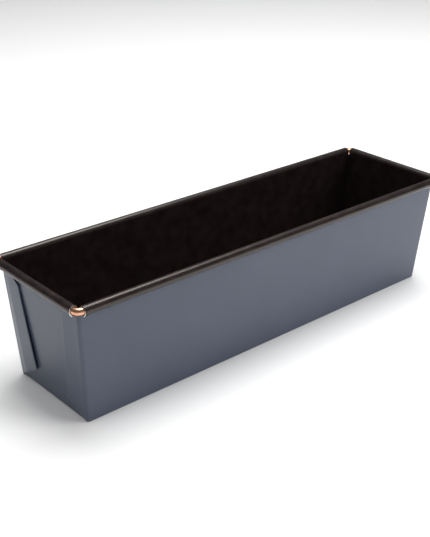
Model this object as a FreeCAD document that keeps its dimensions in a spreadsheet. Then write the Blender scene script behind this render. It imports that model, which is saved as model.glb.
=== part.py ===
import FreeCAD, Part
import math
import os

import Sketcher

# Wired-edge loaf pan, in millimetres. +X is along the pan, +Y towards its rear, +Z up.
# The origin is the middle of the underside of the flat bottom.
#
# The pan is one folded blank of steel sheet and one wire. The blank is kept here as the panels
# between its fold lines: the bottom, four walls with their rolled top edges, and four corner tabs.
# A tab carries on from a long wall round the vertical corner and lies outside the end wall.

DOCUMENT_NAME = "loaf_pan"
SHEET_NAME = "sizes"

# alias, value in millimetres or degrees, meaning
DRIVING_SIZES = (
    ("base_length", 335.0, "outside length of the bottom, between the sharp corners of its end folds"),
    ("base_width", 81.0, "outside width of the bottom, between the sharp corners of its side folds"),
    ("wire_height", 88.0, "underside of the pan to the centre line of the rim wire"),
    ("end_slope", 4.25, "degrees that an end wall leans outwards"),
    ("side_slope", 3.4, "degrees that a long wall leans outwards"),
    ("sheet_thickness", 0.7, "thickness of the blank"),
    ("bottom_bend_radius", 1.5, "outside radius of the folds round the bottom"),
    ("corner_bend_radius", 2.5, "outside radius of the vertical folds between long walls and tabs"),
    ("wire_diameter", 5.0, "diameter of the rim wire"),
    ("wire_bend_radius", 3.5, "radius of the wire's centre line at the four corners"),
    ("wire_joint_gap", 0.5, "gap at the butt joint of the wire, hidden in the rear curl"),
    ("curl_clearance", 0.15, "air between the wire and the curl round it"),
    ("curl_sweep", 300.0, "degrees that a curl turns from the top of its wall"),
    ("curl_end_gap", 0.4, "air from the wire's bend, or the other curl, to a curl's square-cut end"),
    ("tab_clearance", 0.1, "air between an end wall and the root of a tab"),
    ("tab_top_width", 18.5, "reach of a tab along the end wall at its top"),
    ("tab_foot_width", 25.0, "reach of a tab along the end wall at its foot"),
    ("tab_lift", 4.0, "degrees that a tab stands off the end wall at its foot"),
    ("tab_foot_angle", 30.0, "degrees that a tab's lower edge rises from the bottom corner"),
    ("tab_top_gap", 0.3, "air between the top of a tab and the curl above it"),
    ("trim_margin", 5.0, "how far the trimming outlines reach past the metal that they remove"),
)

# Shared positions, written once as formulas of the sheet's cells.
WIRE_RADIUS = "sizes.wire_diameter / 2"
CURL_INNER = f"({WIRE_RADIUS} + sizes.curl_clearance)"
CURL_OUTER = f"({CURL_INNER} + sizes.sheet_thickness)"
WIRE_X = (
    "(sizes.base_length / 2 + tan(sizes.end_slope) * sizes.wire_height"
    f" + {CURL_INNER} / cos(sizes.end_slope))"
)
WIRE_Y = (
    "(sizes.base_width / 2 + tan(sizes.side_slope) * sizes.wire_height"
    f" + {CURL_INNER} / cos(sizes.side_slope))"
)
# A curl ends before the wire starts to bend, and clear of the curl round the corner from it.
CURL_SETBACK = f"(max(sizes.wire_bend_radius; {CURL_OUTER}) + sizes.curl_end_gap)"
RIM_TOP = f"(sizes.wire_height + {CURL_OUTER})"
TAB_TOP = f"(sizes.wire_height - {CURL_OUTER} - sizes.tab_top_gap)"
# Level where the curl starts to be trimmed square, midway in the air above the tabs.
TRIM_LEVEL = f"({TAB_TOP} + sizes.tab_top_gap / 2)"
CORNER_INNER = "(sizes.corner_bend_radius - sizes.sheet_thickness)"
# Centre of a vertical corner fold, as a distance out along X and Y at the bottom of the pan.
FOLD_X = (
    "(sizes.base_length / 2 + sizes.tab_clearance + sizes.sheet_thickness"
    " - sizes.corner_bend_radius)"
)
FOLD_Y = "(sizes.base_width / 2 - sizes.corner_bend_radius)"

START, END, CENTRE = 1, 2, 3
ORIGIN_POINT = (-1, 1)
SAME_POINT = 1e-6


def make_sheet(document):
    """Spreadsheet with one aliased cell for each driving size."""
    sheet = document.addObject("Spreadsheet::Sheet", SHEET_NAME)
    for row, (alias, value, meaning) in enumerate(DRIVING_SIZES, start=1):
        sheet.set(f"A{row}", meaning)
        sheet.set(f"B{row}", str(value))
        sheet.setAlias(f"B{row}", alias)
    document.recompute()
    return sheet


document = FreeCAD.newDocument(DOCUMENT_NAME)
sheet = make_sheet(document)


def value_of(formula):
    """Number that a formula of the sheet's cells gives."""
    result = sheet.evalExpression(formula)
    return float(getattr(result, "Value", result))


def new_body(label, half_turn):
    """Named body. With half_turn it is turned 180 degrees about the pan's upright axis."""
    body = document.addObject("PartDesign::Body", f"body_{label}")
    body.Label = label
    turn = 180.0 if half_turn else 0.0
    rotation = FreeCAD.Rotation(FreeCAD.Vector(0, 0, 1), turn)
    body.Placement = FreeCAD.Placement(FreeCAD.Vector(0, 0, 0), rotation)
    return body


def new_sketch(body, role, name, offset=None):
    """Sketch on one of the body's own origin planes, moved along the plane's normal by a formula."""
    sketch = body.newObject("Sketcher::SketchObject", f"{body.Label}_{name}")
    plane = next(item for item in body.Origin.OriginFeatures if item.Role == role)
    sketch.AttachmentSupport = [(plane, "")]
    sketch.MapMode = "FlatFace"
    if offset:
        sketch.setExpression("AttachmentOffset.Base.z", offset)
    return sketch


def bind(sketch, name, formula, kind, *where):
    """Driving constraint whose value follows a formula of the sheet's cells."""
    number = value_of(formula)
    if kind == "Angle":
        number = math.radians(number)
    index = sketch.addConstraint(Sketcher.Constraint(kind, *where, number))
    sketch.renameConstraint(index, name)
    sketch.setExpression(f"Constraints.{name}", formula)


def bind_point(sketch, name, where, across, up):
    """Fixes a point of the sketch at a place given by two formulas."""
    bind(sketch, f"{name}_across", across, "DistanceX", *ORIGIN_POINT, *where)
    bind(sketch, f"{name}_up", up, "DistanceY", *ORIGIN_POINT, *where)


def common_ends(first, second):
    """Which ends of two neighbouring pieces of an outline meet."""
    for first_end, first_point in ((START, first.StartPoint), (END, first.EndPoint)):
        for second_end, second_point in ((START, second.StartPoint), (END, second.EndPoint)):
            if first_point.distanceToPoint(second_point) < SAME_POINT:
                return first_end, second_end
    raise ValueError("two neighbouring pieces of an outline do not meet")


def add_chain(sketch, pieces, smooth=(), closed=True):
    """Adds lines and arcs that follow each other. Joints named in smooth are tangent."""
    first_index = sketch.GeometryCount
    sketch.addGeometry(pieces, False)
    joints = len(pieces) if closed else len(pieces) - 1
    for index in range(joints):
        following = (index + 1) % len(pieces)
        ends = common_ends(pieces[index], pieces[following])
        kind = "Tangent" if index in smooth else "Coincident"
        sketch.addConstraint(
            Sketcher.Constraint(kind, first_index + index, ends[0], first_index + following, ends[1])
        )
    return first_index


def add_polygon(sketch, name, corners):
    """Closed outline of straight lines, every corner bound to a pair of formulas."""
    points = [FreeCAD.Vector(value_of(across), value_of(up), 0) for across, up in corners]
    lines = [Part.LineSegment(points[i - 1], points[i]) for i in range(len(points))]
    first_index = add_chain(sketch, lines)
    for number, (across, up) in enumerate(corners):
        bind_point(sketch, f"{name}_{number}", (first_index + number, END), across, up)


def arc(centre, radius, from_degrees, to_degrees):
    """Arc that runs anticlockwise."""
    circle = Part.Circle(centre, FreeCAD.Vector(0, 0, 1), radius)
    return Part.ArcOfCircle(circle, math.radians(from_degrees), math.radians(to_degrees))


def polar(centre, radius, degrees):
    """Point at a radius and angle from a centre."""
    angle = math.radians(degrees)
    return centre + FreeCAD.Vector(radius * math.cos(angle), radius * math.sin(angle), 0)


def symmetric_feature(body, kind, name, sketch):
    """Pad or pocket that reaches both ways from its sketch."""
    feature = body.newObject(kind, f"{body.Label}_{name}")
    feature.Profile = sketch
    feature.SideType = "Symmetric"
    return feature


def cut_through(body, name, sketch):
    """Pocket through everything on both sides of its sketch. It has to remove metal."""
    document.recompute()
    before = body.Shape.Volume
    pocket = symmetric_feature(body, "PartDesign::Pocket", name, sketch)
    pocket.Type = "ThroughAll"
    document.recompute()
    if not body.Shape.Volume < before:
        raise ValueError(f"{name} removed nothing from {body.Label}")


def draw_wall_section(sketch, base, slope, wire_across):
    """Section of a wall: fold at the bottom, straight lean outwards and curl round the wire.

    Across is outwards and up is up. The outer face of the straight stretch, carried on down,
    meets the underside at half the bottom's width or length.
    """
    lean = value_of(slope)
    bend_across = (
        f"{base} / 2 - sizes.bottom_bend_radius * (1 - sin({slope})) / cos({slope})"
    )
    bend_inner = "sizes.bottom_bend_radius - sizes.sheet_thickness"
    bend = FreeCAD.Vector(value_of(bend_across), value_of("sizes.bottom_bend_radius"), 0)
    curl = FreeCAD.Vector(value_of(wire_across), value_of("sizes.wire_height"), 0)
    bend_radii = (value_of("sizes.bottom_bend_radius"), value_of(bend_inner))
    curl_radii = (value_of(CURL_INNER), value_of(CURL_OUTER))
    curl_start = 180 - lean
    curl_end = curl_start - value_of("sizes.curl_sweep")
    pieces = [
        Part.LineSegment(polar(bend, bend_radii[1], -90), polar(bend, bend_radii[0], -90)),
        arc(bend, bend_radii[0], -90, -lean),
        Part.LineSegment(polar(bend, bend_radii[0], -lean), polar(curl, curl_radii[0], curl_start)),
        arc(curl, curl_radii[0], curl_end, curl_start),
        Part.LineSegment(polar(curl, curl_radii[1], curl_end), polar(curl, curl_radii[0], curl_end)),
        arc(curl, curl_radii[1], curl_end, curl_start),
        Part.LineSegment(polar(curl, curl_radii[1], curl_start), polar(bend, bend_radii[1], -lean)),
        arc(bend, bend_radii[1], -90, -lean),
    ]
    foot, outer_bend, _, inner_curl, lip, outer_curl, _, inner_bend = range(len(pieces))
    add_chain(sketch, pieces, smooth=(1, 2, 5, 6))
    sketch.addConstraint(Sketcher.Constraint("Coincident", outer_bend, CENTRE, inner_bend, CENTRE))
    sketch.addConstraint(Sketcher.Constraint("Coincident", inner_curl, CENTRE, outer_curl, CENTRE))
    sketch.addConstraint(Sketcher.Constraint("Vertical", foot))
    sketch.addConstraint(Sketcher.Constraint("PointOnObject", outer_bend, CENTRE, foot))
    sketch.addConstraint(Sketcher.Constraint("PointOnObject", inner_curl, CENTRE, lip))
    bind(sketch, "bend_outer", "sizes.bottom_bend_radius", "Radius", outer_bend)
    bind(sketch, "bend_inner", bend_inner, "Radius", inner_bend)
    bind(sketch, "curl_inner", CURL_INNER, "Radius", inner_curl)
    bind(sketch, "curl_outer", CURL_OUTER, "Radius", outer_curl)
    bind(sketch, "lip_direction", f"360 - {slope} - sizes.curl_sweep", "Angle", lip)
    bind_point(sketch, "bend", (outer_bend, CENTRE), bend_across, "sizes.bottom_bend_radius")
    bind_point(sketch, "curl", (inner_curl, CENTRE), wire_across, "sizes.wire_height")


def trim_wall_ends(body, role, edge, edge_slope, corner):
    """Cuts both ends of a wall to its leaning fold line, and the curl square above the tabs."""
    curl_end = f"({corner} - {CURL_SETBACK})"
    low = "-sizes.trim_margin"
    high = f"{RIM_TOP} + sizes.trim_margin"
    sketch = new_sketch(body, role, "end_trims")
    for name, sign in (("first", ""), ("second", "-1 * ")):
        corners = [
            (f"{sign}({edge} - tan({edge_slope}) * sizes.trim_margin)", low),
            (f"{sign}({edge} + tan({edge_slope}) * {TRIM_LEVEL})", TRIM_LEVEL),
            (f"{sign}{curl_end}", TRIM_LEVEL),
            (f"{sign}{curl_end}", high),
            (f"{sign}({corner} + sizes.trim_margin)", high),
            (f"{sign}({corner} + sizes.trim_margin)", low),
        ]
        add_polygon(sketch, name, corners)
    cut_through(body, "end_trim_cut", sketch)


def make_wall(label, half_turn, section_role, trim_role, base, slope, wire_across, edge, edge_slope,
              corner):
    """One wall with its bottom fold and curl. The section runs along the wall, then is trimmed.

    edge is where the wall ends at the bottom, and corner is where the wire's corner is.
    """
    body = new_body(label, half_turn)
    section = new_sketch(body, section_role, "section")
    draw_wall_section(section, base, slope, wire_across)
    pad = symmetric_feature(body, "PartDesign::Pad", "run", section)
    pad.setExpression("Length", f"2 * {corner}")
    trim_wall_ends(body, trim_role, edge, edge_slope, corner)
    return body


def make_long_wall(label, half_turn):
    """Front or rear wall."""
    return make_wall(
        label, half_turn, "YZ_Plane", "XZ_Plane",
        base="sizes.base_width", slope="sizes.side_slope", wire_across=WIRE_Y,
        edge=FOLD_X, edge_slope="sizes.end_slope", corner=WIRE_X,
    )


def make_end_wall(label, half_turn):
    """Left or right wall. It stops where the corner folds start, so it clears their inside."""
    return make_wall(
        label, half_turn, "XZ_Plane", "YZ_Plane",
        base="sizes.base_length", slope="sizes.end_slope", wire_across=WIRE_X,
        edge=FOLD_Y, edge_slope="sizes.side_slope", corner=WIRE_Y,
    )


def make_base_panel():
    """Flat bottom, out to the lines where its four folds start."""
    body = new_body("base_panel", half_turn=False)
    sketch = new_sketch(body, "XY_Plane", "outline")
    reach = {
        axis: f"({base} / 2 - sizes.bottom_bend_radius * (1 - sin({slope})) / cos({slope}))"
        for axis, base, slope in (
            ("across", "sizes.base_length", "sizes.end_slope"),
            ("up", "sizes.base_width", "sizes.side_slope"),
        )
    }
    corners = [
        (f"{sign_x} * {reach['across']}", f"{sign_y} * {reach['up']}")
        for sign_x, sign_y in ((1, 1), (-1, 1), (-1, -1), (1, -1))
    ]
    add_polygon(sketch, "corner", corners)
    pad = body.newObject("PartDesign::Pad", "base_panel_plate")
    pad.Profile = sketch
    pad.setExpression("Length", "sizes.sheet_thickness")
    return body


def draw_tab_section(sketch, side, height, width, lift):
    """Level section of the tab at the left end: quarter fold from the long wall, then a flat strip.

    side is 1 at the rear and -1 at the front. The strip turns away from the end wall by lift.
    """
    centre_across = f"-1 * ({FOLD_X} + tan(sizes.end_slope) * {height})"
    centre_up = f"{side} * ({FOLD_Y} + tan(sizes.side_slope) * {height})"
    strip = f"{width} - sizes.corner_bend_radius"
    centre = FreeCAD.Vector(value_of(centre_across), value_of(centre_up), 0)
    radii = (value_of("sizes.corner_bend_radius"), value_of(CORNER_INNER))
    lift_degrees = value_of(lift)
    wall_side = 90 * side
    strip_side = 180 - side * lift_degrees
    run = value_of(strip) * FreeCAD.Vector(
        -math.sin(math.radians(lift_degrees)), -side * math.cos(math.radians(lift_degrees)), 0
    )
    outer_turn = polar(centre, radii[0], strip_side)
    inner_turn = polar(centre, radii[1], strip_side)
    start_angle, end_angle = (wall_side, strip_side) if side > 0 else (strip_side, 270)
    outer_line = (outer_turn, outer_turn + run)
    if side > 0:
        outer_line = outer_line[::-1]
    pieces = [
        Part.LineSegment(polar(centre, radii[1], wall_side), polar(centre, radii[0], wall_side)),
        arc(centre, radii[0], start_angle, end_angle),
        Part.LineSegment(*outer_line),
        Part.LineSegment(outer_turn + run, inner_turn + run),
        Part.LineSegment(inner_turn + run, inner_turn),
        arc(centre, radii[1], start_angle, end_angle),
    ]
    root, outer_fold, outer_strip, free_edge, _, inner_fold = range(len(pieces))
    add_chain(sketch, pieces, smooth=(1, 4))
    sketch.addConstraint(Sketcher.Constraint("Coincident", outer_fold, CENTRE, inner_fold, CENTRE))
    sketch.addConstraint(Sketcher.Constraint("Vertical", root))
    sketch.addConstraint(Sketcher.Constraint("PointOnObject", outer_fold, CENTRE, root))
    sketch.addConstraint(Sketcher.Constraint("Perpendicular", outer_strip, free_edge))
    bind(sketch, "fold_outer", "sizes.corner_bend_radius", "Radius", outer_fold)
    bind(sketch, "fold_inner", CORNER_INNER, "Radius", inner_fold)
    bind(sketch, "strip_length", strip, "Distance", outer_strip)
    bind(sketch, "strip_direction", f"90 - {side} * {lift}", "Angle", outer_strip)
    bind_point(sketch, "fold", (outer_fold, CENTRE), centre_across, centre_up)


def make_tab(label, side, half_turn):
    """Corner tab: a loft from its foot, lifted off the end wall, to its top, flat on the wall."""
    body = new_body(label, half_turn)
    foot = new_sketch(body, "XY_Plane", "foot")
    draw_tab_section(foot, side, "0", "sizes.tab_foot_width", "sizes.tab_lift")
    top = new_sketch(body, "XY_Plane", "top", offset=TAB_TOP)
    draw_tab_section(top, side, TAB_TOP, "sizes.tab_top_width", "0")
    document.recompute()
    loft = body.newObject("PartDesign::AdditiveLoft", f"{label}_loft")
    loft.Profile = foot
    loft.Sections = [top]
    loft.Ruled = True
    lower_edge = new_sketch(body, "YZ_Plane", "lower_edge")
    reach = "(sizes.tab_foot_width + sizes.trim_margin)"
    root = f"{side} * {FOLD_Y}"
    tip = f"{side} * (sizes.base_width / 2 - {reach})"
    low = "-sizes.trim_margin"
    corners = [
        (root, low),
        (root, "tan(sizes.tab_foot_angle) * sizes.corner_bend_radius"),
        (tip, f"tan(sizes.tab_foot_angle) * {reach}"),
        (tip, low),
    ]
    add_polygon(lower_edge, "cut", corners)
    cut_through(body, "lower_edge_cut", lower_edge)
    return body


def make_rim_wire():
    """Wire ring through the four curls: a rounded rectangle, butted together in the rear curl."""
    body = new_body("rim_wire", half_turn=False)
    path = new_sketch(body, "XY_Plane", "path", offset="sizes.wire_height")
    reach_x = value_of(WIRE_X)
    reach_y = value_of(WIRE_Y)
    bend = value_of("sizes.wire_bend_radius")
    half_gap = value_of("sizes.wire_joint_gap") / 2
    inner_x = reach_x - bend
    inner_y = reach_y - bend

    def at(across, up):
        return FreeCAD.Vector(across, up, 0)

    pieces = [
        Part.LineSegment(at(half_gap, reach_y), at(inner_x, reach_y)),
        arc(at(inner_x, inner_y), bend, 0, 90),
        Part.LineSegment(at(reach_x, inner_y), at(reach_x, -inner_y)),
        arc(at(inner_x, -inner_y), bend, 270, 360),
        Part.LineSegment(at(inner_x, -reach_y), at(-inner_x, -reach_y)),
        arc(at(-inner_x, -inner_y), bend, 180, 270),
        Part.LineSegment(at(-reach_x, -inner_y), at(-reach_x, inner_y)),
        arc(at(-inner_x, inner_y), bend, 90, 180),
        Part.LineSegment(at(-inner_x, reach_y), at(-half_gap, reach_y)),
    ]
    add_chain(path, pieces, smooth=range(len(pieces)), closed=False)
    path.addConstraint(Sketcher.Constraint("Horizontal", 0))
    path.addConstraint(Sketcher.Constraint("Vertical", 2))
    path.addConstraint(Sketcher.Constraint("Horizontal", 4))
    path.addConstraint(Sketcher.Constraint("Vertical", 6))
    for name, index in (("right_rear", 1), ("right_front", 3), ("left_front", 5), ("left_rear", 7)):
        bind(path, f"bend_{name}", "sizes.wire_bend_radius", "Radius", index)
    bend_x = f"({WIRE_X} - sizes.wire_bend_radius)"
    bend_y = f"({WIRE_Y} - sizes.wire_bend_radius)"
    bind_point(path, "right_front_centre", (3, CENTRE), bend_x, f"-1 * {bend_y}")
    bind_point(path, "left_rear_centre", (7, CENTRE), f"-1 * {bend_x}", bend_y)
    bind(path, "joint_right", "sizes.wire_joint_gap / 2", "DistanceX", *ORIGIN_POINT, 0, START)
    bind(path, "joint_left", "-1 * sizes.wire_joint_gap / 2", "DistanceX", *ORIGIN_POINT, 8, END)

    section = new_sketch(body, "YZ_Plane", "section", offset="sizes.wire_joint_gap / 2")
    centre = at(reach_y, value_of("sizes.wire_height"))
    section.addGeometry(Part.Circle(centre, FreeCAD.Vector(0, 0, 1), value_of(WIRE_RADIUS)), False)
    bind(section, "wire", WIRE_RADIUS, "Radius", 0)
    bind_point(section, "axis", (0, CENTRE), WIRE_Y, "sizes.wire_height")
    document.recompute()
    pipe = body.newObject("PartDesign::AdditivePipe", "rim_wire_ring")
    pipe.Profile = section
    pipe.Spine = path
    return body


def check_and_export(bodies):
    """Stops if anything failed to build, then writes one STEP file for each body."""
    document.recompute()
    for item in document.Objects:
        if any(state in ("Invalid", "Error") for state in item.State):
            raise ValueError(f"{item.Name} did not build: {item.State}")
    for body in bodies:
        if body.Shape.isNull() or not body.Shape.isValid() or len(body.Shape.Solids) != 1:
            raise ValueError(f"{body.Label} is not one valid solid")
    os.makedirs("parts", exist_ok=True)
    for body in bodies:
        body.Shape.exportStep(os.path.join("parts", f"{body.Label}.step"))
        box = body.Shape.BoundBox
        print(
            f"{body.Label}: {body.Shape.Volume:.1f} mm3,"
            f" {box.XLength:.2f} x {box.YLength:.2f} x {box.ZLength:.2f} mm"
        )


bodies = [
    make_base_panel(),
    make_long_wall("front_wall", half_turn=True),
    make_long_wall("rear_wall", half_turn=False),
    make_end_wall("left_end_wall", half_turn=True),
    make_end_wall("right_end_wall", half_turn=False),
    make_tab("corner_tab_front_left", side=-1, half_turn=False),
    make_tab("corner_tab_rear_left", side=1, half_turn=False),
    make_tab("corner_tab_rear_right", side=-1, half_turn=True),
    make_tab("corner_tab_front_right", side=1, half_turn=True),
    make_rim_wire(),
]
check_and_export(bodies)
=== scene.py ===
import math
from collections import namedtuple

import bmesh
import bpy
from mathutils import Matrix, Vector, noise


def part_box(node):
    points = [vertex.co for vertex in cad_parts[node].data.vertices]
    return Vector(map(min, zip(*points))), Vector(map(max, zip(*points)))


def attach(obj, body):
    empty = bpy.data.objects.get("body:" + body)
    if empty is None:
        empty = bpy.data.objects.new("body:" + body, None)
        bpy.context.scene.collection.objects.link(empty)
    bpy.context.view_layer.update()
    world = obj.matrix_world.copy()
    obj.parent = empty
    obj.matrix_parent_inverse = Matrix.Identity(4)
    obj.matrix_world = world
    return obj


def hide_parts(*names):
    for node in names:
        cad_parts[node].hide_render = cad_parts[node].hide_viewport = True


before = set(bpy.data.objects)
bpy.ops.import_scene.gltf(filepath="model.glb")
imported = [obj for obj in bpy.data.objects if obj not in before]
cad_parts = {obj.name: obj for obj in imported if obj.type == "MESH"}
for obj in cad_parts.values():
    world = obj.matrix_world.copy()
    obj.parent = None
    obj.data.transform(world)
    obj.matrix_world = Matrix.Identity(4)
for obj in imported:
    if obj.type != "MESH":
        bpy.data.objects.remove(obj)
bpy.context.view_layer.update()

# A wired-edge loaf pan, in metres. +X is along the pan, +Y towards its rear, +Z up.
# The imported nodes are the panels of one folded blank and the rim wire. The blank is shown as one
# continuous folded sheet with its cut edges, and the wire as one bent ring.

MM = 0.001
TINY = 1e-9
STEEL_NODES = (
    "base_panel", "front_wall", "rear_wall", "left_end_wall", "right_end_wall",
    "corner_tab_front_left", "corner_tab_rear_left", "corner_tab_rear_right", "corner_tab_front_right",
)

# Folds of the sheet that the nodes' boxes do not give by themselves. Bends are outside radii.
END_SLOPE = math.radians(4.25)
SIDE_SLOPE = math.radians(3.4)
BOTTOM_BEND = 1.5 * MM
CORNER_BEND = 2.5 * MM
CURL_SWEEP = math.radians(300)
CURL_SETBACK = 3.9 * MM         # from the wire's corner back to a curl's cut end
WIRE_BEND = 3.5 * MM            # of the wire's centre line
WIRE_JOINT = 0.5 * MM           # air between the wire's two butt ends
TAB_CLEARANCE = 0.1 * MM        # between an end wall and the root of a tab
TAB_FOOT_ANGLE = math.radians(30)
TAB_TOP_GAP = 0.3 * MM          # between a tab's top edge and the curl above it
SLIT = 0.25 * MM                # between an end wall's edge and the start of the corner fold

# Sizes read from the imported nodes.
base_low, base_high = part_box("base_panel")
wire_low, wire_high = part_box("rim_wire")
wall_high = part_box("rear_wall")[1]
SHEET = base_high.z - base_low.z
HALF_SHEET = SHEET / 2
WIRE_RADIUS = (wire_high.z - wire_low.z) / 2
WIRE_HEIGHT = (wire_high.z + wire_low.z) / 2
WIRE_X = wire_high.x - WIRE_RADIUS
WIRE_Y = wire_high.y - WIRE_RADIUS
CURL_OUTER = wall_high.z - WIRE_HEIGHT
CURL_INNER = CURL_OUTER - SHEET
CURL_MIDDLE = CURL_OUTER - HALF_SHEET
TAB_TOP = WIRE_HEIGHT - CURL_OUTER - TAB_TOP_GAP
TRIM_LEVEL = TAB_TOP + TAB_TOP_GAP / 2


def half_base(wire_reach, slope):
    """Half of the bottom's length or width between the sharp corners of its outer faces."""
    return wire_reach - CURL_INNER / math.cos(slope) - math.tan(slope) * WIRE_HEIGHT


HALF_LENGTH = half_base(WIRE_X, END_SLOPE)
HALF_WIDTH = half_base(WIRE_Y, SIDE_SLOPE)
FOLD_X = HALF_LENGTH + TAB_CLEARANCE + SHEET - CORNER_BEND
FOLD_Y = HALF_WIDTH - CORNER_BEND


def fold_x_at(up):
    """Distance along the pan to a corner fold's axis at a height."""
    return FOLD_X + math.tan(END_SLOPE) * up


def fold_y_at(up):
    """Distance across the pan to a corner fold's axis at a height."""
    return FOLD_Y + math.tan(SIDE_SLOPE) * up


# ---------------------------------------------------------------- section of a wall

# Facets of each stretch of a wall's section.
BEND_STEPS = 6
LEAN_STEPS = 40
TOP_STEPS = 3
CURL_STEPS = 48
TRIM_STEP = 0.1 * MM            # height over which a wall's edge steps from tab to curl

CURL_FLARE = 0.9 * MM           # how far a curl's lower half springs open at its cut end
FLARE_LENGTH = 5.0 * MM         # length of curl over which it does so

# stretch is bend (the bottom fold), straight (beside a tab), top (above the tabs) or curl.
SectionPoint = namedtuple("SectionPoint", "out up stretch")
BELOW_TRIM = ("bend", "straight")


def steps(first, last, count):
    """count + 1 evenly spaced values, both ends included."""
    return [first + (last - first) * i / count for i in range(count + 1)]


def smooth(value):
    """Eases 0..1 in and out."""
    value = min(max(value, 0.0), 1.0)
    return value * value * (3 - 2 * value)


def wall_profile(half, slope):
    """Middle line of a wall's section, from the flat bottom's edge up to the lip of the curl."""
    bend_out = half - BOTTOM_BEND * (1 - math.sin(slope)) / math.cos(slope)
    bend_radius = BOTTOM_BEND - HALF_SHEET
    points = []
    for angle in steps(-math.pi / 2, -slope, BEND_STEPS):
        points.append(SectionPoint(bend_out + bend_radius * math.cos(angle),
                                   BOTTOM_BEND + bend_radius * math.sin(angle), "bend"))

    face_out = half - HALF_SHEET / math.cos(slope)
    curl_start = math.pi - slope
    curl_start_up = WIRE_HEIGHT + CURL_MIDDLE * math.sin(curl_start)
    straight = steps(points[-1].up, TAB_TOP, LEAN_STEPS)[1:] + [TRIM_LEVEL]
    top = steps(TRIM_LEVEL + TRIM_STEP, curl_start_up, TOP_STEPS)[:-1]
    for stretch, heights in (("straight", straight), ("top", top)):
        for up in heights:
            points.append(SectionPoint(face_out + math.tan(slope) * up, up, stretch))

    wire_out = half + math.tan(slope) * WIRE_HEIGHT + CURL_INNER / math.cos(slope)
    for angle in steps(curl_start, curl_start - CURL_SWEEP, CURL_STEPS):
        points.append(SectionPoint(wire_out + CURL_MIDDLE * math.cos(angle),
                                   WIRE_HEIGHT + CURL_MIDDLE * math.sin(angle), "curl"))
    return points


def flared(up, stretch, from_end):
    """Height of a curl's point, its lower half sprung open towards the curl's square-cut end."""
    if stretch != "curl" or up > WIRE_HEIGHT:
        return up
    return up - CURL_FLARE * smooth(1 - from_end / FLARE_LENGTH) * (WIRE_HEIGHT - up) / CURL_MIDDLE


# ---------------------------------------------------------------- corner tabs

class Tab:
    """Shape of one corner tab: its reach at top and foot, and how far its free edge springs off.

    spring holds the free edge's distance off the end wall at the top, half way and at the foot.
    settle is the part of the width over which the tab lifts to it.
    """

    def __init__(self, top_reach, foot_reach, spring, settle):
        self.top_reach = top_reach
        self.foot_reach = foot_reach
        self.spring = spring
        self.settle = settle

    def strip(self, up):
        """Width of the flat strip past the corner fold at a height."""
        reach = self.foot_reach + (self.top_reach - self.foot_reach) * up / TAB_TOP
        return reach - CORNER_BEND

    def stand_off(self, part, up):
        """Distance that the strip stands off the end wall, from its root (0) to its edge (1)."""
        level = up / TAB_TOP
        top, middle, foot = self.spring
        edge = foot * (1 - level) * (1 - 2 * level) + 4 * middle * level * (1 - level)
        edge += top * level * (2 * level - 1)
        return edge * smooth(part / self.settle)


# The tabs by the signs of their x and y. The two left ones are seen in the photo and differ.
TABS = {
    (-1, -1): Tab(17.6 * MM, 20.6 * MM, (1.0 * MM, 1.2 * MM, 1.2 * MM), 1.3),
    (-1, 1): Tab(19.7 * MM, 27.4 * MM, (0.2 * MM, 1.1 * MM, 1.0 * MM), 0.35),
    (1, 1): Tab(18.2 * MM, 24.0 * MM, (0.5 * MM, 0.9 * MM, 0.8 * MM), 0.6),
    (1, -1): Tab(18.8 * MM, 25.0 * MM, (0.6 * MM, 1.1 * MM, 1.0 * MM), 0.8),
}
TAB_SHOULDER = 6.5 * MM         # drop of a tab's top edge at its free corner
SHOULDER_FROM = 0.55            # part of the width at which it starts to drop
FOLD_RISE = 2.2 * MM            # how far a corner fold's middle rises above the tabs, behind the wire
FOLD_RISE_FROM = 0.875          # part of the height at which it starts to rise
FOLD_STEPS = 8
STRIP_STEPS = 14


def fold_point(end_side, side, radius, up, turn):
    """Point of a corner fold, turned from the long wall (0) to the end wall (a quarter turn)."""
    axis = Vector((end_side * fold_x_at(up), side * fold_y_at(up), up))
    rise = max((up / TAB_TOP - FOLD_RISE_FROM) / (1 - FOLD_RISE_FROM), 0.0)
    return axis + Vector((end_side * radius * math.sin(turn), side * radius * math.cos(turn),
                          FOLD_RISE * rise * math.sin(2 * turn)))


def strip_point(end_side, side, radius, foot_up, level, part):
    """Point of a tab's flat strip: level runs from its foot to its top, part from root to edge."""
    tab = TABS[(end_side, side)]
    low = foot_up + math.tan(TAB_FOOT_ANGLE) * part * tab.strip(foot_up)
    high = TAB_TOP - TAB_SHOULDER * smooth((part - SHOULDER_FROM) / (1 - SHOULDER_FROM))
    up = low + (high - low) * level
    return Vector((end_side * (fold_x_at(up) + radius + tab.stand_off(part, up)),
                   side * (fold_y_at(up) - part * tab.strip(up)), up))


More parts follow.
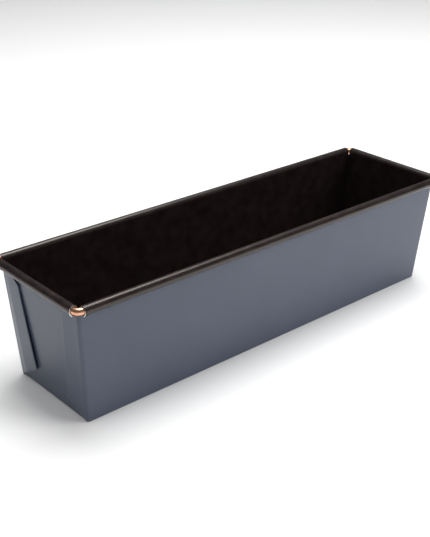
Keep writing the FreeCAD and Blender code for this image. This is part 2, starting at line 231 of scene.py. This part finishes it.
def corner_tab(build, profile, wall_rows, end_side, side):
    """The corner fold and tab that carry on from one end of a long wall."""
    wall_edge = 0 if end_side < 0 else -1
    bend_rows = sum(1 for point in profile if point.stretch == "bend")
    top_row = next(i for i, point in enumerate(profile) if abs(point.up - TAB_TOP) < TINY)
    foot_up = profile[bend_rows - 1].up
    rows = []
    for index, point in enumerate(profile[:top_row + 1]):
        radius = point.out - fold_y_at(point.up)
        row = [wall_rows[index][wall_edge]]
        for turn in steps(0, math.pi / 2, FOLD_STEPS)[1:]:
            row.append(build.verts.new(fold_point(end_side, side, radius, point.up, turn)))
        if index < bend_rows - 1:
            row += [None] * STRIP_STEPS
        else:
            level = (point.up - foot_up) / (TAB_TOP - foot_up)
            for part in steps(0, 1, STRIP_STEPS)[1:]:
                row.append(build.verts.new(strip_point(end_side, side, radius, foot_up, level, part)))
        rows.append(row)
    add_grid(build, rows)

    # The fold's foot closes on the bottom's corner.
    bottom = profile[0].up
    hub = build.verts.new(Vector((end_side * fold_x_at(bottom), side * fold_y_at(bottom), bottom)))
    foot = rows[0][:FOLD_STEPS + 1]
    for a, b in zip(foot, foot[1:]):
        build.faces.new((hub, a, b))


# ---------------------------------------------------------------- the folded blank

COLUMNS_ALONG = 96
COLUMNS_ACROSS = 36
BUNCHING = 0.35

OILCAN = 0.16 * MM              # depth of the slight waviness of a long wall
END_OILCAN = 0.5                # an end wall's share of it
OILCAN_WAVES = 14.0             # about this many waves in a metre
OILCAN_FOOT = 18 * MM           # heights and part of the width over which it fades to nothing
OILCAN_TOP = 14 * MM
OILCAN_SIDE = 0.12

BOTTOM_DOME = 0.35 * MM         # rise of the bottom's middle
DOME_RISE_ALONG = 2.5           # how soon it is reached from the ends and from the sides
DOME_RISE_ACROSS = 1.5

MERGE_DISTANCE = 0.004 * MM
CUT_EDGE_ROUNDING = 0.09 * MM
CUT_EDGE_ANGLE = math.radians(60)
BLANK_SHARP_ANGLE = math.radians(38)


def spread(count):
    """Places from -1 to 1, closer together towards both ends."""
    return [value * (1 + BUNCHING * (1 - abs(value))) for value in steps(-1.0, 1.0, count)]


ALONG = spread(COLUMNS_ALONG)
ACROSS = spread(COLUMNS_ACROSS)


def oilcan(place, along, up):
    """Slight in-and-out of a flat wall, nothing at its folds and its rim."""
    window = smooth(up / OILCAN_FOOT) * smooth((TAB_TOP - up) / OILCAN_TOP)
    window *= smooth((1 - abs(along)) / OILCAN_SIDE)
    return OILCAN * window * noise.noise(place * OILCAN_WAVES)


def add_grid(build, rows):
    """Quads between rows of points. A row is a list of vertices, or None where there is no sheet."""
    for lower, upper in zip(rows, rows[1:]):
        for a, b, c, d in zip(lower, lower[1:], upper[1:], upper):
            corners = [corner for corner in (a, b, c, d) if corner is not None]
            unique = list(dict.fromkeys(corners))
            if len(corners) == 4 and len(unique) >= 3:
                build.faces.new(unique)


def long_reach(up, stretch):
    """Half length of a long wall at a height: to its corner folds, or to its curl's cut ends."""
    return fold_x_at(up) if stretch in BELOW_TRIM else WIRE_X - CURL_SETBACK


def end_reach(up, stretch):
    """Half width of an end wall at a height. Its edges stop short of the corner folds."""
    if stretch in BELOW_TRIM:
        return FOLD_Y - SLIT + math.tan(SIDE_SLOPE) * up
    return WIRE_Y - CURL_SETBACK


def long_ribbon(build, side):
    """A long wall with its curl, and the tabs that carry on round its two corner folds."""
    profile = wall_profile(HALF_WIDTH, SIDE_SLOPE)
    rows = []
    for out, up, stretch in profile:
        reach = long_reach(up, stretch)
        row = []
        for along in ALONG:
            place = Vector((along * reach, side * out, flared(up, stretch, reach * (1 - abs(along)))))
            if stretch == "straight":
                place.y += side * oilcan(place, along, up)
            row.append(build.verts.new(place))
        rows.append(row)
    add_grid(build, rows)
    for end_side in (-1, 1):
        corner_tab(build, profile, rows, end_side, side)


def end_ribbon(build, side):
    """An end wall with its curl."""
    rows = []
    for out, up, stretch in wall_profile(HALF_LENGTH, END_SLOPE):
        reach = end_reach(up, stretch)
        row = []
        for across in ACROSS:
            place = Vector((side * out, across * reach, flared(up, stretch, reach * (1 - abs(across)))))
            if stretch == "straight":
                place.x += side * END_OILCAN * oilcan(place, across, up)
            row.append(build.verts.new(place))
        rows.append(row)
    add_grid(build, rows)


def flat_bottom(build):
    """The bottom, out to the first line of every fold, domed very slightly inwards."""
    level = HALF_SHEET
    edge_x = fold_x_at(level)
    bend_x = wall_profile(HALF_LENGTH, END_SLOPE)[0].out
    edge_y = end_reach(level, "bend")
    hub_y = fold_y_at(level)
    bend_y = wall_profile(HALF_WIDTH, SIDE_SLOPE)[0].out
    along = [-bend_x] + [place * edge_x for place in ALONG] + [bend_x]
    across = [-bend_y, -hub_y] + [place * edge_y for place in ACROSS] + [hub_y, bend_y]
    rows = []
    for y in across:
        row = []
        for x in along:
            if abs(x) > edge_x + TINY and abs(y) > edge_y + TINY:
                row.append(None)
                continue
            dome = smooth((1 - abs(x) / bend_x) * DOME_RISE_ALONG)
            dome *= smooth((1 - abs(y) / bend_y) * DOME_RISE_ACROSS)
            row.append(build.verts.new(Vector((x, y, level + BOTTOM_DOME * dome))))
        rows.append(row)
    add_grid(build, rows)


def finished_mesh(build, name, materials):
    """Mesh of a built shape with its materials, in their order."""
    mesh = bpy.data.meshes.new(name)
    build.to_mesh(mesh)
    build.free()
    for material in materials:
        mesh.materials.append(material)
    return mesh


def linked(name, data):
    """Object for a mesh, light or camera, placed in the scene."""
    thing = bpy.data.objects.new(name, data)
    bpy.context.scene.collection.objects.link(thing)
    return thing


def shown(name, mesh, nodes):
    """Object for a finished mesh, riding on the pan's only body."""
    piece = linked(name, mesh)
    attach(piece, "root")
    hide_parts(*nodes)
    return piece


def apply_modifiers(piece):
    """Turns the piece's modifiers into plain mesh."""
    graph = bpy.context.evaluated_depsgraph_get()
    mesh = bpy.data.meshes.new_from_object(piece.evaluated_get(graph))
    piece.modifiers.clear()
    piece.data = mesh
    return mesh


# The blank's materials, in the order that make_blank is given them.
LACQUERED = 0
COATED_INSIDE = 1
BARE_EDGE = 2


def make_blank(materials):
    """One folded sheet: its middle surface, thickened, with softened cut edges."""
    build = bmesh.new()
    flat_bottom(build)
    for side in (-1, 1):
        long_ribbon(build, side)
        end_ribbon(build, side)
    bmesh.ops.remove_doubles(build, verts=build.verts, dist=MERGE_DISTANCE)

    # The faces look outwards, so that the lacquer is outside.
    bmesh.ops.recalc_face_normals(build, faces=build.faces)
    below = min(build.faces, key=lambda face: face.calc_center_median().xy.length)
    if below.normal.z > 0:
        bmesh.ops.reverse_faces(build, faces=build.faces)

    mesh = finished_mesh(build, "folded_blank", materials)
    piece = shown("folded_blank", mesh, STEEL_NODES)
    sheet = piece.modifiers.new("sheet", "SOLIDIFY")
    sheet.thickness = SHEET
    sheet.offset = 0
    sheet.use_even_offset = True
    sheet.use_quality_normals = True
    sheet.material_offset = COATED_INSIDE
    sheet.material_offset_rim = BARE_EDGE
    edges = piece.modifiers.new("edges", "BEVEL")
    edges.width = CUT_EDGE_ROUNDING
    edges.segments = 2
    edges.limit_method = "ANGLE"
    edges.angle_limit = CUT_EDGE_ANGLE
    edges.use_clamp_overlap = True
    mesh = apply_modifiers(piece)

    # The lacquer also covers the cut edges up to the tops of the tabs. Above them they are bare.
    for face in mesh.polygons:
        if face.material_index == BARE_EDGE and face.center.z < TAB_TOP:
            face.material_index = LACQUERED
    mesh.shade_smooth()
    mesh.set_sharp_from_angle(angle=BLANK_SHARP_ANGLE)


# ---------------------------------------------------------------- the rim wire

WIRE_SIDES = 48
WIRE_CORNER_STEPS = 24
WIRE_SHARP_ANGLE = math.radians(50)


def wire_path():
    """Points along the wire's centre line and the direction there, from one butt end to the other."""
    inner = Vector((WIRE_X - WIRE_BEND, WIRE_Y - WIRE_BEND))
    path = [(Vector((WIRE_JOINT / 2, WIRE_Y)), 0.0)]
    for sign_x, sign_y, start in ((1, 1, 90), (1, -1, 0), (-1, -1, -90), (-1, 1, -180)):
        centre = Vector((sign_x * inner.x, sign_y * inner.y))
        for angle in steps(start, start - 90, WIRE_CORNER_STEPS):
            turn = math.radians(angle)
            place = centre + WIRE_BEND * Vector((math.cos(turn), math.sin(turn)))
            path.append((place, turn - math.pi / 2))
    path.append((Vector((-WIRE_JOINT / 2, WIRE_Y)), -2 * math.pi))
    return path


def make_wire(material):
    """Round wire bent to the rim's rectangle, its two butt ends closed."""
    build = bmesh.new()
    rings = []
    for place, heading in wire_path():
        centre = Vector((place.x, place.y, WIRE_HEIGHT))
        side = Vector((-math.sin(heading), math.cos(heading), 0))
        ring = []
        for index in range(WIRE_SIDES):
            angle = 2 * math.pi * index / WIRE_SIDES
            offset = side * math.cos(angle) + Vector((0, 0, 1)) * math.sin(angle)
            ring.append(build.verts.new(centre + WIRE_RADIUS * offset))
        rings.append(ring)
    for first, second in zip(rings, rings[1:]):
        for index in range(WIRE_SIDES):
            following = (index + 1) % WIRE_SIDES
            build.faces.new((first[index], first[following], second[following], second[index]))
    build.faces.new(rings[0])
    build.faces.new(rings[-1][::-1])
    bmesh.ops.recalc_face_normals(build, faces=build.faces)
    mesh = finished_mesh(build, "rim_wire_ring", [material])
    shown("rim_wire_ring", mesh, ("rim_wire",))
    mesh.shade_smooth()
    mesh.set_sharp_from_angle(angle=WIRE_SHARP_ANGLE)


# ---------------------------------------------------------------- shader helpers

def new_material(name, **inputs):
    """Node material whose principled shader has these plain values."""
    material = bpy.data.materials.new(name)
    material.use_nodes = True
    shader = material.node_tree.nodes["Principled BSDF"]
    for key, value in inputs.items():
        shader.inputs[key.replace("_", " ")].default_value = value
    return material, material.node_tree, shader


def add_node(tree, kind, links=(), **settings):
    """Adds a node. links are (input, output socket) pairs, settings are properties or input values."""
    node = tree.nodes.new(kind)
    for key, value in settings.items():
        if hasattr(node, key):
            setattr(node, key, value)
        else:
            node.inputs[key.replace("_", " ")].default_value = value
    for entry, source in links:
        tree.links.new(source, node.inputs[entry])
    return node


def place_on_piece(tree, stretch=(1, 1, 1)):
    """The point's place on the pan in metres, stretched along the axes."""
    coordinates = add_node(tree, "ShaderNodeTexCoord")
    mapping = add_node(tree, "ShaderNodeMapping", [("Vector", coordinates.outputs["Object"])])
    mapping.inputs["Scale"].default_value = stretch
    return mapping.outputs["Vector"]


def height_of(tree, place):
    """Height of a place above the floor."""
    return add_node(tree, "ShaderNodeSeparateXYZ", [("Vector", place)]).outputs["Z"]


def pattern(tree, place, grain, detail=2.0, roughness=0.5):
    """Soft noise from 0 to 1 whose blobs are about one grain across."""
    noise_node = add_node(tree, "ShaderNodeTexNoise", [("Vector", place)],
                          Scale=1 / grain, Detail=detail, Roughness=roughness)
    return noise_node.outputs["Fac"]


def ranged(tree, value, source, result):
    """value brought from the source range to the result range, and held within it."""
    node = add_node(tree, "ShaderNodeMapRange", [("Value", value)],
                    From_Min=source[0], From_Max=source[1], To_Min=result[0], To_Max=result[1])
    return node.outputs["Result"]


def worked(tree, operation, *values):
    """Arithmetic on sockets and numbers."""
    node = add_node(tree, "ShaderNodeMath", operation=operation)
    for entry, value in zip(node.inputs, values):
        if isinstance(value, (int, float)):
            entry.default_value = value
        else:
            tree.links.new(value, entry)
    return node.outputs["Value"]


def blended(tree, amount, first, second):
    """Colour between first and second by an amount. first is a colour or a socket."""
    node = add_node(tree, "ShaderNodeMix", [("Factor", amount)], data_type="RGBA")
    colours = [entry for entry in node.inputs if entry.type == "RGBA"]
    if isinstance(first, tuple):
        colours[0].default_value = first
    else:
        tree.links.new(first, colours[0])
    colours[1].default_value = second
    return next(entry for entry in node.outputs if entry.type == "RGBA")


def finish_surface(tree, shader, colour, roughness, height, relief):
    """Connects a surface's colour, its roughness and its relief of some metres in height."""
    tree.links.new(colour, shader.inputs["Base Color"])
    tree.links.new(roughness, shader.inputs["Roughness"])
    bump = add_node(tree, "ShaderNodeBump", [("Height", height)], Distance=relief)
    tree.links.new(bump.outputs["Normal"], shader.inputs["Normal"])


# ---------------------------------------------------------------- materials

# No roughness goes below 0.28. Where one crosses about 0.274 the render's denoiser changes how it
# treats the gloss, and draws dark contour lines.

LACQUER = (0.055, 0.069, 0.105, 1)
LACQUER_PALE = (0.070, 0.086, 0.128, 1)
LACQUER_WORN = (0.120, 0.135, 0.170, 1)
LACQUER_ROUGHNESS = (0.285, 0.345)
WORN_ROUGHNESS = 0.3            # added where the lacquer is rubbed right off
LACQUER_IOR = 1.5
FLAKE_GRAIN = 0.45 * MM
CLOUD_GRAIN = 38 * MM
SCUFF_GRAIN = 1.6 * MM
SCUFF_STRETCH = (1, 1, 0.35)
SCUFF_HEIGHT = (0.4 * MM, 1.8 * MM)
PEEL_GRAIN = 1.3 * MM
PEEL_RELIEF = 0.012 * MM
FLAKE_IN_RELIEF = 0.25


def lacquer_material():
    """Satin blue-grey lacquer: fine metal flake, faint clouding, orange peel and rubbed folds."""
    material, tree, shader = new_material("blue_grey_lacquer", IOR=LACQUER_IOR)
    place = place_on_piece(tree)
    flake = pattern(tree, place, FLAKE_GRAIN, detail=1.0)
    cloud = pattern(tree, place, CLOUD_GRAIN, detail=3.0)
    scuff = pattern(tree, place_on_piece(tree, SCUFF_STRETCH), SCUFF_GRAIN, detail=4.0, roughness=0.65)
    peel = pattern(tree, place, PEEL_GRAIN, detail=1.5)

    tint = worked(tree, "ADD",
                  ranged(tree, flake, (0.35, 0.65), (-0.18, 0.18)),
                  ranged(tree, cloud, (0.3, 0.7), (0.25, 0.75)))
    painted = blended(tree, tint, LACQUER, LACQUER_PALE)
    near_foot = ranged(tree, height_of(tree, place), SCUFF_HEIGHT, (1.0, 0.0))
    # In the lacquer this mask is only wear: lacquer rubbed off near the foot.
    wear_and_sheen = worked(tree, "MULTIPLY", near_foot, ranged(tree, scuff, (0.48, 0.68), (0.0, 0.35)))
    colour = blended(tree, wear_and_sheen, painted, LACQUER_WORN)

    roughness = worked(tree, "ADD",
                       ranged(tree, cloud, (0.25, 0.75), LACQUER_ROUGHNESS),
                       worked(tree, "MULTIPLY", wear_and_sheen, WORN_ROUGHNESS))
    height = worked(tree, "ADD", peel, worked(tree, "MULTIPLY", flake, FLAKE_IN_RELIEF))
    finish_surface(tree, shader, colour, roughness, height, PEEL_RELIEF)
    return material


NONSTICK = (0.0075, 0.0042, 0.0048, 1)
NONSTICK_PALE = (0.0185, 0.0125, 0.0122, 1)
# Colour of a painted sheen: lighter brown laid on the top of the rim's curl, where the light falls on
# it.
NONSTICK_SHEEN = (0.050, 0.034, 0.027, 1)
NONSTICK_GLOSS = (1.0, 0.90, 0.83, 1)
NONSTICK_ROUGHNESS = (0.28, 0.34)
NONSTICK_IOR = 1.6
MOTTLE_GRAIN = 9 * MM
SPECK_GRAIN = 0.7 * MM
STREAK_GRAIN = 4.5 * MM
SHEEN_HEIGHT = (WIRE_HEIGHT + 1.5 * MM, WIRE_HEIGHT + CURL_OUTER)
SPRAY_GRAIN = 0.9 * MM
SPRAY_RELIEF = 0.016 * MM
MOTTLE_IN_RELIEF = 0.5


def nonstick_material():
    """Brown-black non-stick coating: sprayed mottle and pinhead texture, with a painted sheen laid as
    lighter streaks on the top of the rim.
    """
    material, tree, shader = new_material(
        "black_nonstick", IOR=NONSTICK_IOR, Specular_Tint=NONSTICK_GLOSS)
    place = place_on_piece(tree)
    mottle = pattern(tree, place, MOTTLE_GRAIN, detail=4.0, roughness=0.6)
    speck = pattern(tree, place, SPECK_GRAIN, roughness=0.6)
    streak = pattern(tree, place, STREAK_GRAIN, detail=5.0, roughness=0.7)
    spray = pattern(tree, place, SPRAY_GRAIN)

    tint = worked(tree, "ADD",
                  ranged(tree, mottle, (0.35, 0.65), (0.1, 0.8)),
                  ranged(tree, speck, (0.35, 0.65), (-0.15, 0.15)))
    coated = blended(tree, tint, NONSTICK, NONSTICK_PALE)
    # Painted sheen: the top of the curl, above the wire, is made lighter brown in streaks, standing in
    # for the light on the rim.
    sheen_on_rim_top = ranged(tree, height_of(tree, place), SHEEN_HEIGHT, (0.0, 1.0))
    wear_and_sheen = worked(tree, "MULTIPLY", sheen_on_rim_top, ranged(tree, streak, (0.52, 0.72), (0.0, 0.6)))
    colour = blended(tree, wear_and_sheen, coated, NONSTICK_SHEEN)

    roughness = ranged(tree, mottle, (0.3, 0.7), NONSTICK_ROUGHNESS)
    height = worked(tree, "ADD", spray, worked(tree, "MULTIPLY", mottle, MOTTLE_IN_RELIEF))
    finish_surface(tree, shader, colour, roughness, height, SPRAY_RELIEF)
    return material


STEEL_BRIGHT = (0.78, 0.79, 0.81, 1)
STEEL_DULL = (0.42, 0.43, 0.46, 1)
EDGE_ROUGHNESS = (0.29, 0.48)
TORN_GRAIN = 0.35 * MM
DRAG_GRAIN = 2.4 * MM
TORN_RELIEF = 0.02 * MM


def bare_edge_material():
    """Sheared steel: bright burnished band and duller torn grain across the sheet's edge."""
    material, tree, shader = new_material("bare_cut_edge", Metallic=1.0)
    place = place_on_piece(tree)
    torn = pattern(tree, place, TORN_GRAIN, detail=3.0, roughness=0.65)
    drag = pattern(tree, place, DRAG_GRAIN)
    tint = worked(tree, "MULTIPLY",
                  ranged(tree, torn, (0.35, 0.65), (0.0, 1.0)),
                  ranged(tree, drag, (0.3, 0.7), (0.4, 1.0)))
    colour = blended(tree, tint, STEEL_BRIGHT, STEEL_DULL)
    roughness = ranged(tree, torn, (0.3, 0.7), EDGE_ROUGHNESS)
    finish_surface(tree, shader, colour, roughness, torn, TORN_RELIEF)
    return material


COPPER_BRIGHT = (0.95, 0.56, 0.36, 1)
COPPER_AGED = (0.62, 0.25, 0.12, 1)
COPPER_ROUGHNESS = (0.285, 0.42)
PATINA_GRAIN = 2.6 * MM
DRAWN_GRAIN = 0.16 * MM
DRAWN_STRETCH = (0.12, 0.12, 1)
DRAWN_RELIEF = 0.004 * MM


def copper_material():
    """Copper-plated wire: drawing lines along it and darker patina in soft blots."""
    material, tree, shader = new_material("copper_plate", Metallic=1.0)
    patina = pattern(tree, place_on_piece(tree), PATINA_GRAIN, detail=4.0, roughness=0.6)
    lines = pattern(tree, place_on_piece(tree, DRAWN_STRETCH), DRAWN_GRAIN)
    tint = worked(tree, "ADD",
                  ranged(tree, patina, (0.42, 0.72), (0.0, 0.7)),
                  ranged(tree, lines, (0.35, 0.65), (0.0, 0.18)))
    colour = blended(tree, tint, COPPER_BRIGHT, COPPER_AGED)
    roughness = ranged(tree, patina, (0.35, 0.7), COPPER_ROUGHNESS)
    finish_surface(tree, shader, colour, roughness, lines, DRAWN_RELIEF)
    return material


# ---------------------------------------------------------------- floor, light and camera

FLOOR_REACH = 6.0
FLOOR_COLOUR = (0.9, 0.9, 0.9, 1)
FLOOR_ROUGHNESS = 0.8


def make_floor():
    """Plain pale floor under the pan."""
    reach = FLOOR_REACH
    mesh = bpy.data.meshes.new("floor")
    corners = [(-reach, -reach, 0), (reach, -reach, 0), (reach, reach, 0), (-reach, reach, 0)]
    mesh.from_pydata(corners, [], [(0, 1, 2, 3)])
    material = new_material("pale_floor", Base_Color=FLOOR_COLOUR, Roughness=FLOOR_ROUGHNESS)[0]
    mesh.materials.append(material)
    linked("floor", mesh)


# The fills only lift the shade. They are left out of reflections, so that the rims keep one clean
# highlight. name, place, what it faces, width and height, radiance, whether reflections show it
PAN_MIDDLE = (0, 0, 0.05)
SOFTBOXES = (
    ("top_softbox", (0.28, 0.2, 1.3), (0.28, 0.2, 0), (0.95, 0.85), 6.6, True),
    ("ceiling_fill", (0, 0, 4.5), PAN_MIDDLE, (9.0, 9.0), 0.5, False),
    ("left_fill", (-0.95, -0.1, 1.25), PAN_MIDDLE, (0.8, 0.8), 1.5, False),
    ("right_fill", (0.75, -0.95, 0.85), PAN_MIDDLE, (0.8, 0.8), 5.0, False),
)
# Brightness of the room as a light and as the pale backdrop behind the floor.
ROOM = 0.12
BACKDROP = 0.5


def make_softbox(name, place, target, size, radiance, reflected):
    """Evenly bright rectangle facing its target."""
    data = bpy.data.lights.new(name, "AREA")
    data.shape = "RECTANGLE"
    data.size, data.size_y = size
    data.energy = radiance * math.pi * data.size * data.size_y
    light = linked(name, data)
    light.location = place
    light.rotation_euler = (Vector(target) - Vector(place)).to_track_quat("-Z", "Y").to_euler()
    light.visible_glossy = reflected


def make_room():
    """White surroundings, dim as a light and paler where the camera sees them."""
    world = bpy.data.worlds.new("studio")
    bpy.context.scene.world = world
    world.use_nodes = True
    tree = world.node_tree
    background = tree.nodes["Background"]
    background.inputs["Color"].default_value = (1, 1, 1, 1)
    seen = add_node(tree, "ShaderNodeLightPath").outputs["Is Camera Ray"]
    strength = worked(tree, "MULTIPLY_ADD", seen, BACKDROP - ROOM, ROOM)
    tree.links.new(strength, background.inputs["Strength"])


SENSOR = 36.0
FOCAL_IN_HEIGHTS = 1.83657      # focal length over the image's height, its longer side
CAMERA_CLIP = (0.01, 50)
CAMERA_PLACE = Vector((-0.46281, -0.49441, 0.37184))
CAMERA_AZIMUTH = math.radians(-41.671)
CAMERA_ELEVATION = math.radians(25.7905)
CAMERA_ROLL = math.radians(0.6895)


def make_camera():
    """Camera where the photo was taken from, fitted to the pan's straight edges."""
    data = bpy.data.cameras.new("camera")
    data.sensor_width = SENSOR
    data.lens = FOCAL_IN_HEIGHTS * SENSOR
    data.clip_start, data.clip_end = CAMERA_CLIP
    back = Vector((
        math.sin(CAMERA_AZIMUTH) * math.cos(CAMERA_ELEVATION),
        -math.cos(CAMERA_AZIMUTH) * math.cos(CAMERA_ELEVATION),
        math.sin(CAMERA_ELEVATION),
    ))
    right = Vector((0, 0, 1)).cross(back).normalized()
    up = back.cross(right)
    rolled_right = math.cos(CAMERA_ROLL) * right + math.sin(CAMERA_ROLL) * up
    rolled_up = -math.sin(CAMERA_ROLL) * right + math.cos(CAMERA_ROLL) * up
    stand = Matrix((rolled_right, rolled_up, back)).transposed().to_4x4()
    stand.translation = CAMERA_PLACE
    camera = linked("camera", data)
    camera.matrix_world = stand
    bpy.context.scene.camera = camera


bpy.context.scene.view_settings.view_transform = "Standard"
make_blank([lacquer_material(), nonstick_material(), bare_edge_material()])
make_wire(copper_material())
make_floor()
for softbox in SOFTBOXES:
    make_softbox(*softbox)
make_room()
make_camera()

bpy.context.view_layer.update()
